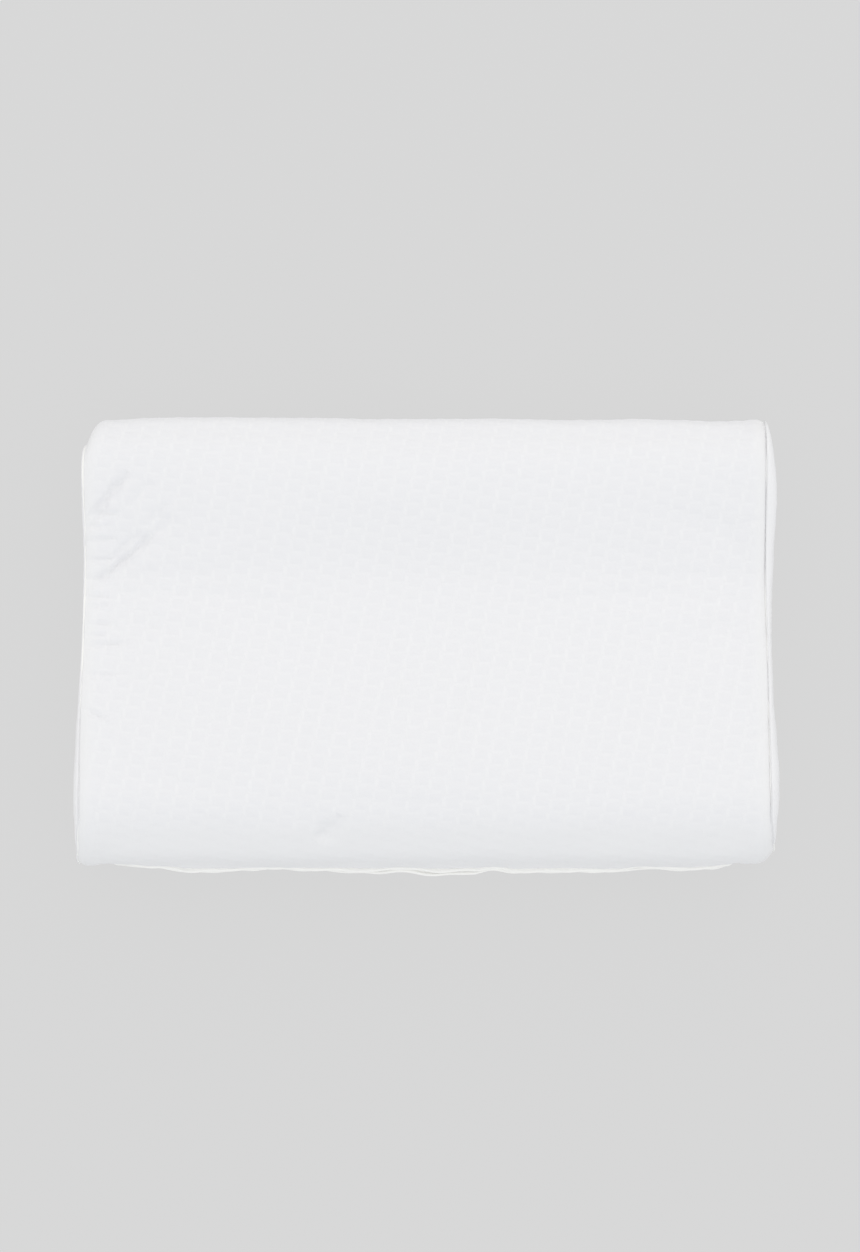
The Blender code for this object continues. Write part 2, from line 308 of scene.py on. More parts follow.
class Contour:
    """The whole pillow's form: a place on the cover for each distance round and share of the length."""

    RIGHT_REAR_DRAW = 0.0029
    END_SAG = 0.0020
    BASE_CLEAR = 0.020
    TAIL_REACH = 0.050

    def __init__(self, section: ContourSection, middle_x: float) -> None:
        self.section = section
        self.middle_x = middle_x
        points = section.walk()
        closed = np.concatenate([points, points[:1]])
        self.length = np.concatenate([[0.0], np.cumsum(np.linalg.norm(np.diff(closed, axis=0), axis=1))])
        self.closed = closed
        along = np.roll(points, -1, axis=0) - np.roll(points, 1, axis=0)
        along /= np.linalg.norm(along, axis=1)[:, None]
        outward = np.stack([-along[:, 1], along[:, 0]], axis=1)
        self.outward = np.concatenate([outward, outward[:1]])
        self.middle = np.array([section.middle_y, section.hollow * 0.5])

    @property
    def girth(self) -> float:
        """The distance all the way round the section."""
        return float(self.length[-1])

    def girth_at(self, y: float, top: bool) -> float:
        """The distance round to the place on the top or the base that lies over a Y."""
        upper = self.outward[:, 1] > 0.0 if top else self.outward[:, 1] < 0.0
        miss = np.abs(self.closed[:, 0] - y) + np.where(upper, 0.0, 1.0)
        return float(self.length[np.argmin(miss)])

    def around(self, girth: np.ndarray) -> tuple[np.ndarray, np.ndarray]:
        """The section's points and the ways out of it, at distances round it."""
        girth = np.mod(girth, self.girth + 1e-9)
        place = np.stack([np.interp(girth, self.length, self.closed[:, axis]) for axis in (0, 1)], axis=1)
        out = np.stack([np.interp(girth, self.length, self.outward[:, axis]) for axis in (0, 1)], axis=1)
        return place, out / np.linalg.norm(out, axis=1)[:, None]

    def seam_x(self, right: np.ndarray, y: np.ndarray) -> np.ndarray:
        """Where the end seam lies, as a distance from the middle, on the right or the left."""
        y = y - self.section.middle_y
        return np.where(right, read_table(PLAN, "y", "right_seam", y), -read_table(PLAN, "y", "left_seam", y))

    def edge_x(self, right: np.ndarray, y: np.ndarray) -> np.ndarray:
        """Where the end gusset stands out furthest, as a distance from the middle."""
        y = y - self.section.middle_y
        return np.where(right, read_table(PLAN, "y", "right_edge", y), -read_table(PLAN, "y", "left_edge", y))

    def place(self, along: np.ndarray, girth: np.ndarray) -> tuple[np.ndarray, np.ndarray, np.ndarray]:
        """Points of the cover.

        Args:
            along: Shares of the way from the middle to the end seam, below nought on the left.
            girth: Distances round the section from the closure.

        Returns:
            The points, the ways out of the cover there, and how far in from the end seam each lies.
        """
        outline, outward = self.around(girth)
        right = along > 0.0
        seam = self.seam_x(right, outline[:, 0])
        inset = (1.0 - np.abs(along)) * seam
        clear_of_base = ease(outline[:, 1] / self.BASE_CLEAR)
        swell = read_table(ROLLED_EDGE, "inset", "swell", np.minimum(inset, ROLLED_EDGE[-1].inset))
        swell = np.where(swell > 0.0, swell * clear_of_base, swell)
        y = outline[:, 0] + outward[:, 0] * swell + self.corner_pull(right, outline[:, 0], inset)
        rearward = ease((outline[:, 0] - self.section.middle_y) / (self.section.depth / 2.0))
        y -= self.RIGHT_REAR_DRAW * (1.0 + along) / 2.0 * rearward
        z = outline[:, 1] + outward[:, 1] * swell - self.END_SAG * np.abs(along) ** 4 * clear_of_base
        x = self.middle_x + np.where(right, 1.0, -1.0) * (seam - inset)
        points = np.stack([x, y, np.maximum(z, 0.0)], axis=1)
        out = np.stack([np.zeros_like(x), outward[:, 0], outward[:, 1]], axis=1)
        return points, out, inset

    def corner_pull(self, right: np.ndarray, y: np.ndarray, inset: np.ndarray) -> np.ndarray:
        """How far each nose is drawn in near the ends, which rounds the pillow's corners."""
        across = (y - self.section.middle_y) / (self.section.depth / 2.0)
        pull = np.zeros_like(across)
        for row in CORNERS:
            here = (right == (row.side > 0)) & (row.nose * across > 0.0)
            near = np.clip(1.0 - inset / row.length, 0.0, 1.0)
            drawn = row.pull * near ** 3 + row.tail * np.clip(1.0 - inset / self.TAIL_REACH, 0.0, 1.0) ** 2
            pull = np.where(here, -row.nose * drawn * np.abs(across) ** 6, pull)
        return pull


@dataclass(frozen=True)
class JacquardCells:
    """The knit's repeat: a puffed cell, a bright bar beside it and one above, in columns that step down."""

    column: tuple[float, float] = (0.01170, -0.00350)
    course: tuple[float, float] = (0.00215, 0.00960)
    cell: tuple[float, float] = (0.0088, 0.0070)
    upright: tuple[float, float] = (0.0022, 0.0070)
    level: tuple[float, float] = (0.0086, 0.0017)
    level_share: float = 0.55
    puff: float = 0.00030
    bow: float = 0.18

    def bowed(self, along: np.ndarray, girth: np.ndarray) -> np.ndarray:
        """The cloth's own distance round, where the courses bow a little toward the left end."""
        return girth - self.bow * np.minimum(along, 0.0) ** 2

    def relief(self, along: np.ndarray, girth: np.ndarray) -> np.ndarray:
        """How far the cells puff out of the cloth.

        Args:
            along: Distances along the pillow on the cloth.
            girth: Distances round the pillow on the cloth.

        Returns:
            The height at each place, for the mesh.
        """
        girth = self.bowed(along, girth)
        (bx, by), (ax, ay) = self.column, self.course
        spread = bx * ay - by * ax
        column = (along * ay - girth * ax) / spread
        course = (girth * bx - along * by) / spread
        return self.puff * (np.cos(math.pi * column) * np.cos(math.pi * course)) ** 2


def soft_creases(points: np.ndarray, outward: np.ndarray) -> np.ndarray:
    """How far the creases move the cover's upper side, out of or into the foam."""
    moved = np.zeros(len(points))
    for crease in CREASES:
        start, end = np.array(crease.start), np.array(crease.end)
        run = end - start
        share = ((points[:, :2] - start) @ run) / (run @ run)
        wander = 0.25 * crease.width * np.sin(share * 7.0 + crease.start[0] * 300.0)
        nearest = start + np.clip(share, 0.0, 1.0)[:, None] * run
        away = np.linalg.norm(points[:, :2] - nearest, axis=1) + wander * (np.abs(share - 0.5) < 0.5)
        taper = np.where(np.abs(share - 0.5) < 0.5, np.sin(np.pi * np.clip(share, 0.0, 1.0)) ** 0.6, 0.0)
        moved += crease.height * taper * np.exp(-((away / crease.width) ** 2))
    return moved * ease(outward[:, 2] * 2.0)


def unevenness(points: np.ndarray, size: float, height: float, seed: float) -> np.ndarray:
    """A soft unevenness of the cloth: smooth noise of one scale, the same each run."""
    shift = Vector((seed, seed * 1.7, seed * 0.6))
    return np.array([noise.noise(Vector(point) / size + shift) for point in points]) * height


def deselect_all() -> None:
    """Leave nothing selected, so that an operator acts on its own piece alone."""
    if bpy.context.mode != "OBJECT":
        bpy.ops.object.mode_set(mode="OBJECT")
    bpy.ops.object.select_all(action="DESELECT")


def hold(piece: bpy.types.Object) -> None:
    """Select one piece alone and make it the active one."""
    deselect_all()
    piece.select_set(True)
    bpy.context.view_layer.objects.active = piece


def read_points(piece: bpy.types.Object) -> np.ndarray:
    """A mesh piece's points."""
    points = np.empty(len(piece.data.vertices) * 3)
    piece.data.vertices.foreach_get("co", points)
    return points.reshape(-1, 3)


def write_points(piece: bpy.types.Object, points: np.ndarray) -> None:
    """Move a mesh piece's points."""
    piece.data.vertices.foreach_set("co", points.astype(np.float32).ravel())
    piece.data.update()


def write_cloth_map(piece: bpy.types.Object, along: np.ndarray, girth: np.ndarray) -> None:
    """Give a piece its cloth's own coordinates, in metres, as its UV map.

    Args:
        piece: The mesh piece.
        along: The cloth's first coordinate at each vertex.
        girth: The cloth's second coordinate at each vertex.
    """
    corners = np.empty(len(piece.data.loops), dtype=np.int64)
    piece.data.loops.foreach_get("vertex_index", corners)
    layer = piece.data.uv_layers.active or piece.data.uv_layers.new(name=CLOTH_MAP)
    layer.name = CLOTH_MAP
    places = np.stack([along[corners], girth[corners]], axis=1)
    layer.data.foreach_set("uv", places.astype(np.float32).ravel())


def write_border(piece: bpy.types.Object, border: np.ndarray) -> None:
    """Tell the finish where the cloth is plain, as beside the end seams: 1 there and 0 elsewhere."""
    attribute = piece.data.attributes.new(BORDER, "FLOAT", "POINT")
    attribute.data.foreach_set("value", border.astype(np.float32))


def apply_modifiers(piece: bpy.types.Object) -> None:
    """Make a piece's modifiers part of its mesh."""
    hold(piece)
    for modifier in list(piece.modifiers):
        bpy.ops.object.modifier_apply(modifier=modifier.name)


def outward_normals(piece: bpy.types.Object) -> None:
    """Merge a piece's doubles and point its faces outwards."""
    hold(piece)
    bpy.ops.object.mode_set(mode="EDIT")
    bpy.ops.mesh.select_all(action="SELECT")
    bpy.ops.mesh.remove_doubles(threshold=0.00002)
    bpy.ops.mesh.normals_make_consistent(inside=False)
    bpy.ops.object.mode_set(mode="OBJECT")


def select_open_edges() -> None:
    """Select a mesh's open edges alone, in edit mode."""
    bpy.ops.mesh.select_all(action="DESELECT")
    bpy.ops.mesh.select_non_manifold(
        extend=False,
        use_wire=False,
        use_boundary=True,
        use_multi_face=False,
        use_non_contiguous=False,
        use_verts=False,
    )


def dress(piece: bpy.types.Object, finish: bpy.types.Material) -> None:
    """Give a piece its one material and shade it as cloth, with no facets."""
    piece.data.materials.clear()
    piece.data.materials.append(finish)
    hold(piece)
    bpy.ops.object.shade_smooth()


def add_grid(name: str, across: int, up: int) -> bpy.types.Object:
    """A flat cut of cloth from -1 to 1, in cells."""
    deselect_all()
    bpy.ops.mesh.primitive_grid_add(x_subdivisions=across, y_subdivisions=up, size=2.0)
    piece = bpy.context.active_object
    piece.name = name
    piece.data.name = name
    return piece


class NodeGraph:
    """A short hand for the nodes of one tree."""

    def __init__(self, tree: bpy.types.NodeTree) -> None:
        self.tree = tree

    def node(self, kind: str, **settings: object) -> bpy.types.Node:
        """Add a node and set its own properties."""
        node = self.tree.nodes.new(kind)
        for key, value in settings.items():
            setattr(node, key, value)
        return node

    def put(self, socket: bpy.types.NodeSocket, value: object) -> None:
        """Link a socket to another, or give it a value."""
        if isinstance(value, bpy.types.NodeSocket):
            self.tree.links.new(value, socket)
        else:
            socket.default_value = value

    def maths(self, operation: str, *values: object) -> bpy.types.NodeSocket:
        """A Math node's result."""
        node = self.node("ShaderNodeMath", operation=operation)
        for index, value in enumerate(values):
            self.put(node.inputs[index], value)
        return node.outputs[0]

    def ranged(
        self, value: object, low: float, high: float, to_low: float = 0.0, to_high: float = 1.0
    ) -> bpy.types.NodeSocket:
        """A smooth Map Range node's result."""
        node = self.node("ShaderNodeMapRange", interpolation_type="SMOOTHSTEP")
        settings = {"Value": value, "From Min": low, "From Max": high, "To Min": to_low, "To Max": to_high}
        for name, item in settings.items():
            self.put(node.inputs[name], item)
        return node.outputs["Result"]


def new_group(
    name: str, inputs: Sequence[tuple[str, str, object]], outputs: Sequence[tuple[str, str]]
) -> tuple[bpy.types.NodeTree, NodeGraph, bpy.types.Node, bpy.types.Node]:
    """Start a shader node group.

    Args:
        name: The group's name.
        inputs: Each input's name, socket type and default value.
        outputs: Each output's name and socket type.

    Returns:
        The group, its graph, and its input and output nodes.
    """
    tree = bpy.data.node_groups.new(name, "ShaderNodeTree")
    for label, kind, value in inputs:
        socket = tree.interface.new_socket(name=label, in_out="INPUT", socket_type=kind)
        if value is not None:
            socket.default_value = value
    for label, kind in outputs:
        tree.interface.new_socket(name=label, in_out="OUTPUT", socket_type=kind)
    graph = NodeGraph(tree)
    return tree, graph, graph.node("NodeGroupInput"), graph.node("NodeGroupOutput")


class KnitGroups:
    """The node groups that the knitted finishes share."""

    def __init__(self, cells: JacquardCells) -> None:
        self.cells = cells
        self.patch = self.make_patch()
        self.jacquard = self.make_jacquard()
        self.yarn = self.make_yarn()

    @staticmethod
    def make_patch() -> bpy.types.NodeTree:
        """A soft-edged rectangle round a place: 1 inside and 0 outside."""
        tree, graph, given, result = new_group(
            "Knit patch",
            [
                ("Across", "NodeSocketFloat", 0.0),
                ("Up", "NodeSocketFloat", 0.0),
                ("Half width", "NodeSocketFloat", 0.004),
                ("Half height", "NodeSocketFloat", 0.004),
                ("Edge", "NodeSocketFloat", 0.0006),
            ],
            [("Mask", "NodeSocketFloat")],
        )
        masks = []
        for place, half in (("Across", "Half width"), ("Up", "Half height")):
            over = graph.maths("SUBTRACT", graph.maths("ABSOLUTE", given.outputs[place]), given.outputs[half])
            share = graph.maths("DIVIDE", over, given.outputs["Edge"])
            masks.append(graph.ranged(share, 0.5, -0.5))
        graph.put(result.inputs["Mask"], graph.maths("MULTIPLY", masks[0], masks[1]))
        return tree

    def make_jacquard(self) -> bpy.types.NodeTree:
        """The cells and bars of the jacquard, on the cloth's own coordinates."""
        tree, graph, given, result = new_group(
            "Jacquard cells",
            [("Cloth", "NodeSocketVector", None), ("Edge", "NodeSocketFloat", 0.0015)],
            [("Cell", "NodeSocketFloat"), ("Bar", "NodeSocketFloat"), ("Height", "NodeSocketFloat")],
        )
        cells = self.cells
        split = graph.node("ShaderNodeSeparateXYZ")
        graph.put(split.inputs[0], given.outputs["Cloth"])
        along, girth = split.outputs["X"], split.outputs["Y"]
        left = graph.maths("MINIMUM", along, 0.0)
        bowed = graph.maths("MULTIPLY", graph.maths("MULTIPLY", left, left), cells.bow)
        girth = graph.maths("SUBTRACT", girth, bowed)
        (bx, by), (ax, ay) = cells.column, cells.course
        spread = bx * ay - by * ax
        column = self.weighed(graph, along, ay / spread, girth, -ax / spread)
        course = self.weighed(graph, girth, bx / spread, along, -by / spread)
        column, course = graph.maths("FLOOR", column), graph.maths("FLOOR", course)
        beside = (-(cells.cell[0] + cells.upright[0]) / 2.0 - 0.0002, 0.0004)
        above = (-0.0004, (cells.cell[1] + cells.level[1]) / 2.0 + 0.0003)
        cell_mask, bar_mask, dome_mask = None, None, None
        for step_column in (-1.0, 0.0, 1.0):
            for step_course in (0.0, 1.0):
                i, j = graph.maths("ADD", column, step_column), graph.maths("ADD", course, step_course)
                across = graph.maths("SUBTRACT", along, self.weighed(graph, i, bx, j, ax))
                up = graph.maths("SUBTRACT", girth, self.weighed(graph, i, by, j, ay))
                cell = self.stamp(graph, given, across, up, cells.cell, (0.0, 0.0))
                level = self.stamp(graph, given, across, up, cells.level, above)
                level = graph.maths("MULTIPLY", level, cells.level_share)
                upright = self.stamp(graph, given, across, up, cells.upright, beside)
                bar = graph.maths("MAXIMUM", upright, level)
                height = graph.maths("DIVIDE", up, cells.cell[1] * 0.62)
                fall = graph.maths("MULTIPLY", graph.maths("POWER", height, 2.0), 0.8)
                dome = graph.maths("MULTIPLY", cell, graph.maths("SUBTRACT", 1.0, fall))
                cell_mask = cell if cell_mask is None else graph.maths("MAXIMUM", cell_mask, cell)
                bar_mask = bar if bar_mask is None else graph.maths("MAXIMUM", bar_mask, bar)
                dome_mask = dome if dome_mask is None else graph.maths("MAXIMUM", dome_mask, dome)
        graph.put(result.inputs["Cell"], cell_mask)
        graph.put(result.inputs["Bar"], bar_mask)
        height = graph.maths("ADD", graph.maths("MULTIPLY", dome_mask, 0.7), bar_mask)
        graph.put(result.inputs["Height"], height)
        return tree

    @staticmethod
    def weighed(
        graph: NodeGraph, first: object, by: float, second: object, also_by: float
    ) -> bpy.types.NodeSocket:
        """The sum of two values, each times its own factor."""
        first = graph.maths("MULTIPLY", first, by)
        second = graph.maths("MULTIPLY", second, also_by)
        return graph.maths("ADD", first, second)

    def stamp(
        self,
        graph: NodeGraph,
        given: bpy.types.Node,
        across: bpy.types.NodeSocket,
        up: bpy.types.NodeSocket,
        size: tuple[float, float],
        shift: tuple[float, float],
    ) -> bpy.types.NodeSocket:
        """One patch of the repeat, of a size, shifted from the cell's middle."""
        node = graph.node("ShaderNodeGroup", node_tree=self.patch)
        graph.put(node.inputs["Across"], graph.maths("SUBTRACT", across, shift[0]))
        graph.put(node.inputs["Up"], graph.maths("SUBTRACT", up, shift[1]))
        graph.put(node.inputs["Half width"], size[0] / 2.0)
        graph.put(node.inputs["Half height"], size[1] / 2.0)
        graph.put(node.inputs["Edge"], given.outputs["Edge"])
        return node.outputs["Mask"]

    @staticmethod
    def make_yarn() -> bpy.types.NodeTree:
        """The fine knitted loops: rows of short stitches, a little uneven."""
        tree, graph, given, result = new_group(
            "Knitted loops",
            [("Cloth", "NodeSocketVector", None), ("Pitch", "NodeSocketFloat", 0.0011)],
            [("Height", "NodeSocketFloat"), ("Fuzz", "NodeSocketFloat")],
        )
        split = graph.node("ShaderNodeSeparateXYZ")
        graph.put(split.inputs[0], given.outputs["Cloth"])
        wales = graph.maths("DIVIDE", split.outputs["X"], given.outputs["Pitch"])
        wales = graph.maths("MULTIPLY", wales, math.tau)
        courses = graph.maths("DIVIDE", split.outputs["Y"], given.outputs["Pitch"])
        courses = graph.maths("MULTIPLY", courses, math.tau * 1.25)
        wave = graph.maths("SINE", wales)
        leaning = graph.maths("ADD", courses, graph.maths("ABSOLUTE", wave))
        loop = graph.maths("MULTIPLY", wave, graph.maths("SINE", leaning))
        fuzz = graph.node("ShaderNodeTexNoise")
        fuzz.inputs["Scale"].default_value = 900.0
        fuzz.inputs["Detail"].default_value = 3.0
        graph.put(fuzz.inputs["Vector"], given.outputs["Cloth"])
        graph.put(result.inputs["Height"], loop)
        graph.put(result.inputs["Fuzz"], fuzz.outputs["Fac"])
        return tree


@dataclass(frozen=True)
class KnitFinish:
    """A white knitted finish: its colours, its relief and how the light lies on it."""

    name: str
    ground: tuple[float, float, float]
    cell: tuple[float, float, float]
    bar: tuple[float, float, float]
    border: tuple[float, float, float]
    roughness: float = 0.86
    sheen: float = 0.10
    cell_depth: float = 0.00010
    yarn_depth: float = 0.00004
    with_cells: bool = True

    def make(self, groups: KnitGroups) -> bpy.types.Material:
        """Build the material.

        Args:
            groups: The node groups that the knitted finishes share.

        Returns:
            The material, on the cloth's own coordinates.
        """
        material = bpy.data.materials.new(self.name)
        material.use_nodes = True
        graph = NodeGraph(material.node_tree)
        shader = material.node_tree.nodes["Principled BSDF"]
        cloth = graph.node("ShaderNodeUVMap", uv_map=CLOTH_MAP).outputs["UV"]
        yarn = graph.node("ShaderNodeGroup", node_tree=groups.yarn)
        graph.put(yarn.inputs["Cloth"], cloth)
        height = graph.maths("MULTIPLY", yarn.outputs["Height"], self.yarn_depth)
        height = graph.maths("ADD", height, graph.maths("MULTIPLY", yarn.outputs["Fuzz"], self.yarn_depth))
        colour: object = self.ground
        if self.with_cells:
            cells = graph.node("ShaderNodeGroup", node_tree=groups.jacquard)
            graph.put(cells.inputs["Cloth"], cloth)
            border = graph.node("ShaderNodeAttribute", attribute_name=BORDER).outputs["Fac"]
            inside = graph.maths("SUBTRACT", 1.0, border)
            tone = graph.node("ShaderNodeTexNoise")
            tone.inputs["Scale"].default_value = 70.0
            tone.inputs["Detail"].default_value = 2.0
            graph.put(tone.inputs["Vector"], cloth)
            uneven = graph.maths("MULTIPLY", graph.ranged(tone.outputs["Fac"], 0.28, 0.72, 0.15, 1.0), inside)
            puffed = graph.maths("MULTIPLY", cells.outputs["Cell"], inside)
            colour = self.mix(graph, puffed, self.ground, self.cell)
            colour = self.mix(graph, graph.maths("MULTIPLY", cells.outputs["Bar"], uneven), colour, self.bar)
            colour = self.mix(graph, border, colour, self.border)
            relief = graph.maths("MULTIPLY", cells.outputs["Height"], inside)
            height = graph.maths("ADD", height, graph.maths("MULTIPLY", relief, self.cell_depth))
        graph.put(shader.inputs["Base Color"], colour if self.with_cells else (*self.ground, 1.0))
        rough = graph.ranged(yarn.outputs["Fuzz"], 0.3, 0.7, self.roughness - 0.05, self.roughness + 0.06)
        graph.put(shader.inputs["Roughness"], rough)
        shader.inputs["Sheen Weight"].default_value = self.sheen
        shader.inputs["Sheen Roughness"].default_value = 0.5
        shader.inputs["Specular IOR Level"].default_value = 0.25
        bump = graph.node("ShaderNodeBump")
        bump.inputs["Distance"].default_value = 1.0
        bump.inputs["Strength"].default_value = 1.0
        graph.put(bump.inputs["Height"], height)
        graph.put(shader.inputs["Normal"], bump.outputs["Normal"])
        return material

    @staticmethod
    def mix(graph: NodeGraph, share: object, first: object, second: object) -> bpy.types.NodeSocket:
        """A colour between two, by a share."""
        node = graph.node("ShaderNodeMix", data_type="RGBA")
        graph.put(node.inputs[0], share)
        for socket, value in ((node.inputs[6], first), (node.inputs[7], second)):
            graph.put(socket, value if isinstance(value, bpy.types.NodeSocket) else (*value, 1.0))
        return node.outputs[2]


@dataclass(frozen=True)
class FoamPuff:
    """How the cover settles on the foam: a short cloth run on a copy, whose movement the fine panel takes."""

    contour: Contour
    voxel: float = 0.006
    pressure: float = 4.0
    frames: int = 20
    held: float = 0.007
    cap: float = 0.0024
    share: float = 0.5
    neighbours: int = 6

    def settle(self, body: bpy.types.Object) -> tuple[np.ndarray, np.ndarray]:
        """Puff a copy of the body with its seams and base held, and read where it went.

        Args:
            body: The closed body. It is remeshed, simulated and taken away.

        Returns:
            The body's points at rest, and how far each of them moved.
        """
        hold(body)
        body.data.remesh_voxel_size = self.voxel
        bpy.ops.object.voxel_remesh()
        rest = read_points(body)
        x = rest[:, 0] - self.contour.middle_x
        inset = self.contour.seam_x(x > 0.0, rest[:, 1]) - np.abs(x)
        pinned = np.nonzero((inset < self.held) | (rest[:, 2] < 0.004))[0]
        body.vertex_groups.new(name="Seams").add([int(index) for index in pinned], 1.0, "REPLACE")
        cloth = body.modifiers.new("Cloth", "CLOTH")
        cloth.settings.vertex_group_mass = "Seams"
        cloth.settings.quality = 4
        cloth.settings.mass = 0.25
        cloth.settings.tension_stiffness = 12.0
        cloth.settings.compression_stiffness = 12.0
        cloth.settings.bending_stiffness = 0.4
        cloth.settings.shrink_min = -0.004
        cloth.settings.use_pressure = True
        cloth.settings.uniform_pressure_force = self.pressure
        cloth.settings.effector_weights.gravity = 0.0
        cloth.collision_settings.use_collision = False
        cloth.point_cache.frame_start = 1
        cloth.point_cache.frame_end = self.frames
        for frame in range(1, self.frames + 1):
            bpy.context.scene.frame_set(frame)
        apply_modifiers(body)
        moved = read_points(body) - rest
        bpy.context.scene.frame_set(1)
        bpy.data.objects.remove(body)
        return rest, moved

    def lift(self, body: bpy.types.Object, points: np.ndarray, outward: np.ndarray) -> np.ndarray:
        """How far the settled cover stands off each place, against the level that most of it reaches.

        Args:
            body: The closed body to puff.
            points: The fine panel's points.
            outward: The way out of the cover at each of them.

        Returns:
            The movement along the way out, capped.
        """
        rest, moved = self.settle(body)
        tree = kdtree.KDTree(len(rest))
        for index, place in enumerate(rest):
            tree.insert(place, index)
        tree.balance()
        near = [tree.find_n(point, self.neighbours) for point in points]
        index = np.array([[hit[1] for hit in hits] for hits in near])
        weight = np.exp(-((np.array([[hit[2] for hit in hits] for hits in near]) / self.voxel) ** 2))
        weight /= weight.sum(axis=1)[:, None]
        drift = np.einsum("pn,pnc,pc->p", weight, moved[index], outward)
        level = float(np.median(drift[outward[:, 2] > 0.8]))
        LOG.info("cover settles: %.4f m at most, %.4f m on the whole", drift.max(), level)
        return np.clip((drift - level) * self.share, -self.cap, self.cap)


@dataclass
class WrapPanel:
    """The filled foam in its wrap panel: the main padded piece."""

    contour: Contour
    cells: JacquardCells
    finish: bpy.types.Material
    name: str = "cover_wrap"
    columns: tuple[tuple[float, int], ...] = ((-1.0, 0), (-0.70, 60), (0.80, 236), (1.0, 264))
    top_cells: int = 270
    base_cells: int = 34
    under_cells: int = 26
    cap_rings: tuple[float, ...] = (0.94, 0.82, 0.62, 0.35, 0.0005)
    end_depth: float = 0.0012
    wide_swells: tuple[float, float, float] = (0.060, 0.0011, 3.0)
    small_swells: tuple[float, float, float] = (0.022, 0.00035, 8.0)
    flare: float = 0.55
    flare_width: float = 0.0085
    hem_plainness: float = 0.75
    nose_plainness: float = 0.55

    def girths(self) -> np.ndarray:
        """The distance round the pillow of each row of the cut: short rows above, long rows on the base."""
        half = self.contour.section.depth / 2.0
        middle = self.contour.section.middle_y
        rear = self.contour.girth_at(middle + half - self.contour.section.rear_foot, top=False)
        front = self.contour.girth_at(middle - half + self.contour.section.front_foot, top=False)
        rows = np.cumsum([0, self.top_cells, self.base_cells, self.under_cells])
        return np.interp(np.arange(rows[-1] + 1), rows, [0.0, rear, front, self.contour.girth])

    def build(self) -> bpy.types.Object:
        """Cut the panel flat, roll it round the contour, and close its edges and ends."""
        piece, flat, row, girth = self.cut()
        points, outward, inset = self.contour.place(flat[:, 0], np.where(row == row.max(), 0.0, girth))
        along = points[:, 0]
        top = ease(outward[:, 2] * 1.5 + 0.9)
        settled = np.zeros(len(points))
        body, *_ = self.cut()
        write_points(body, points)
        self.close_up(body)
        upper = ease((outward[:, 2] - 0.45) / 0.35) * ease((inset - 0.006) / 0.024)
        settled = FoamPuff(self.contour).lift(body, points, outward) * upper
        write_cloth_map(piece, along, girth)
        nose = ease((-outward[:, 1] - 0.25) / 0.45)
        edge = self.hem_plainness * (1.0 - ease((inset - 0.002) / 0.010))
        write_border(piece, np.maximum(edge, self.nose_plainness * nose))
        away_from_edge = ease((inset - 0.004) / 0.010)
        lift = self.cells.relief(along, girth) * top * away_from_edge
        lift += soft_creases(points, outward)
        lift += (unevenness(points, *self.wide_swells) + unevenness(points, *self.small_swells)) * top
        lift += self.closure_flare(along, girth) + settled
        points += outward * lift[:, None]
        points[:, 2] = np.maximum(points[:, 2], 0.0)
        write_points(piece, points)
        self.close_up(piece)
        dress(piece, self.finish)
        return piece

    def cut(self) -> tuple[bpy.types.Object, np.ndarray, np.ndarray, np.ndarray]:
        """The panel as cut: the flat piece, its flat points, and each point's row and distance round."""
        girths = self.girths()
        shares, counts = zip(*self.columns)
        piece = add_grid(self.name, counts[-1], len(girths) - 1)
        flat = read_points(piece)
        flat[:, 0] = np.interp((flat[:, 0] + 1.0) / 2.0 * counts[-1], counts, shares)
        row = np.rint((flat[:, 1] + 1.0) / 2.0 * (len(girths) - 1)).astype(int)
        return piece, flat, row, girths[row]

    def closure_flare(self, along: np.ndarray, girth: np.ndarray) -> np.ndarray:
        """How far the cover stands out towards the lips, above and below the closure."""
        x = along - self.contour.middle_x
        above = girth < self.contour.girth / 2.0
        away = np.where(above, girth, self.contour.girth - girth)
        reach = read_table(LIPS, "x", "upper", np.clip(x, LIPS[0].x, LIPS[-1].x))
        ends = ease((x - LIPS[0].x + 0.004) / 0.008) * ease((LIPS[-1].x + 0.004 - x) / 0.008)
        return self.flare * reach * ends * np.exp(-((away / self.flare_width) ** 2))

    def close_up(self, piece: bpy.types.Object) -> None:
        """Join the panel's two long edges, then draw each end together over the foam's end."""
        hold(piece)
        bpy.ops.object.mode_set(mode="EDIT")
        bpy.ops.mesh.select_mode(type="EDGE")
        bpy.ops.mesh.select_all(action="SELECT")
        bpy.ops.mesh.remove_doubles(threshold=0.00002)
        bpy.ops.object.mode_set(mode="OBJECT")
        panel_points = len(piece.data.vertices)
        bpy.ops.object.mode_set(mode="EDIT")
        centre = (self.contour.middle_x, *self.contour.middle)
        before = 1.0
        for ring in self.cap_rings:
            select_open_edges()
            bpy.ops.mesh.extrude_region_move()
            shrink = ring / before
            bpy.ops.transform.resize(value=(1.0, shrink, shrink), center_override=centre)
            before = ring
        bpy.ops.object.mode_set(mode="OBJECT")
        self.flatten_ends(piece, panel_points)
        bpy.ops.object.mode_set(mode="EDIT")
        bpy.ops.mesh.select_all(action="SELECT")
        bpy.ops.mesh.remove_doubles(threshold=0.0003)
        bpy.ops.mesh.normals_make_consistent(inside=False)
        bpy.ops.object.mode_set(mode="OBJECT")


    def flatten_ends(self, piece: bpy.types.Object, panel_points: int) -> None:
        """Lay the ends' inner rings behind the seam, so that they stay under the gussets.

        Args:
            piece: The panel.
            panel_points: How many of its points lie before the rings.
        """
        points = read_points(piece)
        ring = points[panel_points:]
        right = ring[:, 0] > self.contour.middle_x
        behind = self.contour.seam_x(right, ring[:, 1]) - self.end_depth
        ring[:, 0] = self.contour.middle_x + np.where(right, 1.0, -1.0) * behind
        write_points(piece, points)


